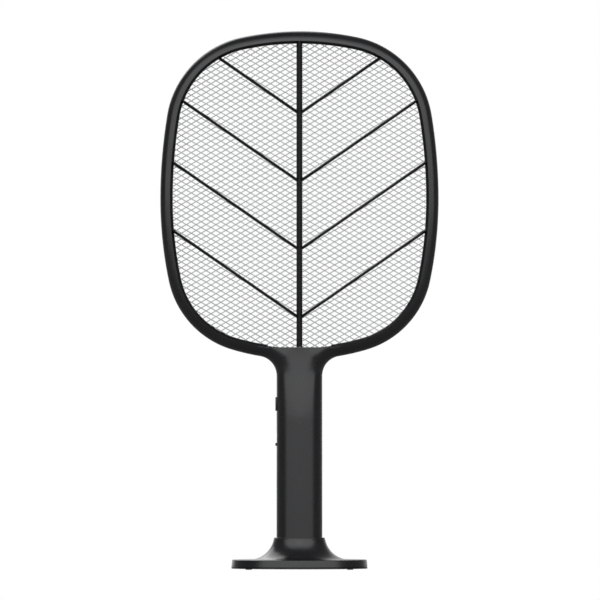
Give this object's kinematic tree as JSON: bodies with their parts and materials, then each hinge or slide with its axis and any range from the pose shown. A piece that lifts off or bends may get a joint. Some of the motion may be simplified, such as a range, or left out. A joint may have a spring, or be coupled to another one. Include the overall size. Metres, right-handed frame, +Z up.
{
  "type": "electric fly swatter",
  "caption": "Racket-shaped electric fly swatter with a rounded head, leaf-vein ribs over wire mesh and a round handle, standing upright in a round charging stand.",
  "frame": {"origin": "on the surface the stand rests on, under the middle of the stand", "axes": "+Z up along the handle, -Y towards the front of the head, -X towards the side with the buttons"},
  "size_m": [0.2276, 0.1114, 0.44],
  "materials": {
    "shell_plastic": "charcoal black fine satin texture",
    "grille_plastic": "black satin",
    "mesh_wire": "satin grey metal wire",
    "contact_brass": "gold-plated brass",
    "wire_sleeve": "smooth insulated wire",
    "cell_sleeve": "glossy shrink sleeve",
    "plated_steel": "nickel-plated steel",
    "board_laminate": "green solder mask",
    "component_resin": "black moulded resin",
    "capacitor_resin": "dipped brown resin",
    "ivory_plastic": "ivory moulded plastic",
    "button_plastic": "black satin",
    "ballast_steel": "zinc-plated punched steel",
    "foot_rubber": "matt black rubber"
  },
  "bodies": {
    "stand": {"stand_shell": "shell_plastic", "base_plate": "shell_plastic", "ballast_ring": "ballast_steel", "rubber_feet": "foot_rubber", "base_screws": "plated_steel", "charge_board": "board_laminate", "usb_socket": "plated_steel", "contact_barrels": "contact_brass"},
    "swatter": {"front_shell": "shell_plastic", "rear_shell": "shell_plastic", "front_grille": "grille_plastic", "rear_grille": "grille_plastic", "front_guard_mesh": "mesh_wire", "centre_mesh": "mesh_wire", "rear_guard_mesh": "mesh_wire", "front_spacer": "grille_plastic", "rear_spacer": "grille_plastic", "mesh_terminals": "contact_brass", "electrode_leads": "wire_sleeve", "end_cap": "shell_plastic", "charge_pads": "contact_brass", "charge_leads": "wire_sleeve", "battery_cell": "cell_sleeve", "cell_contacts": "plated_steel", "battery_cradle": "grille_plastic", "battery_leads": "wire_sleeve", "control_board": "board_laminate", "board_components": "component_resin", "transformer": "component_resin", "hv_capacitors": "capacitor_resin", "rectifier_diodes": "component_resin", "tact_switch": "component_resin", "slide_switch": "plated_steel", "shell_screws": "plated_steel"},
    "trigger": {"trigger_button": "button_plastic", "switch_plunger": "ivory_plastic"},
    "slider": {"power_slider": "button_plastic", "switch_lever": "component_resin"},
    "charge_pins": {"contact_pins": "contact_brass"}
  },
  "joints": [
    {"name": "swatter_lift", "type": "slide", "parent": "stand", "child": "swatter", "axis": [0, 0, 1], "range_m": [0, 0.06]},
    {"name": "trigger_press", "type": "slide", "parent": "swatter", "child": "trigger", "axis": [1, 0, 0], "range_m": [0, 0.0012], "stiffness_N_per_m": 1200},
    {"name": "power_slide", "type": "slide", "parent": "swatter", "child": "slider", "axis": [0, 0, 1], "range_m": [0, 0.0018]},
    {"name": "contact_press", "type": "slide", "parent": "stand", "child": "charge_pins", "axis": [0, 0, -1], "range_m": [0, 0.0008], "stiffness_N_per_m": 600}
  ]
}
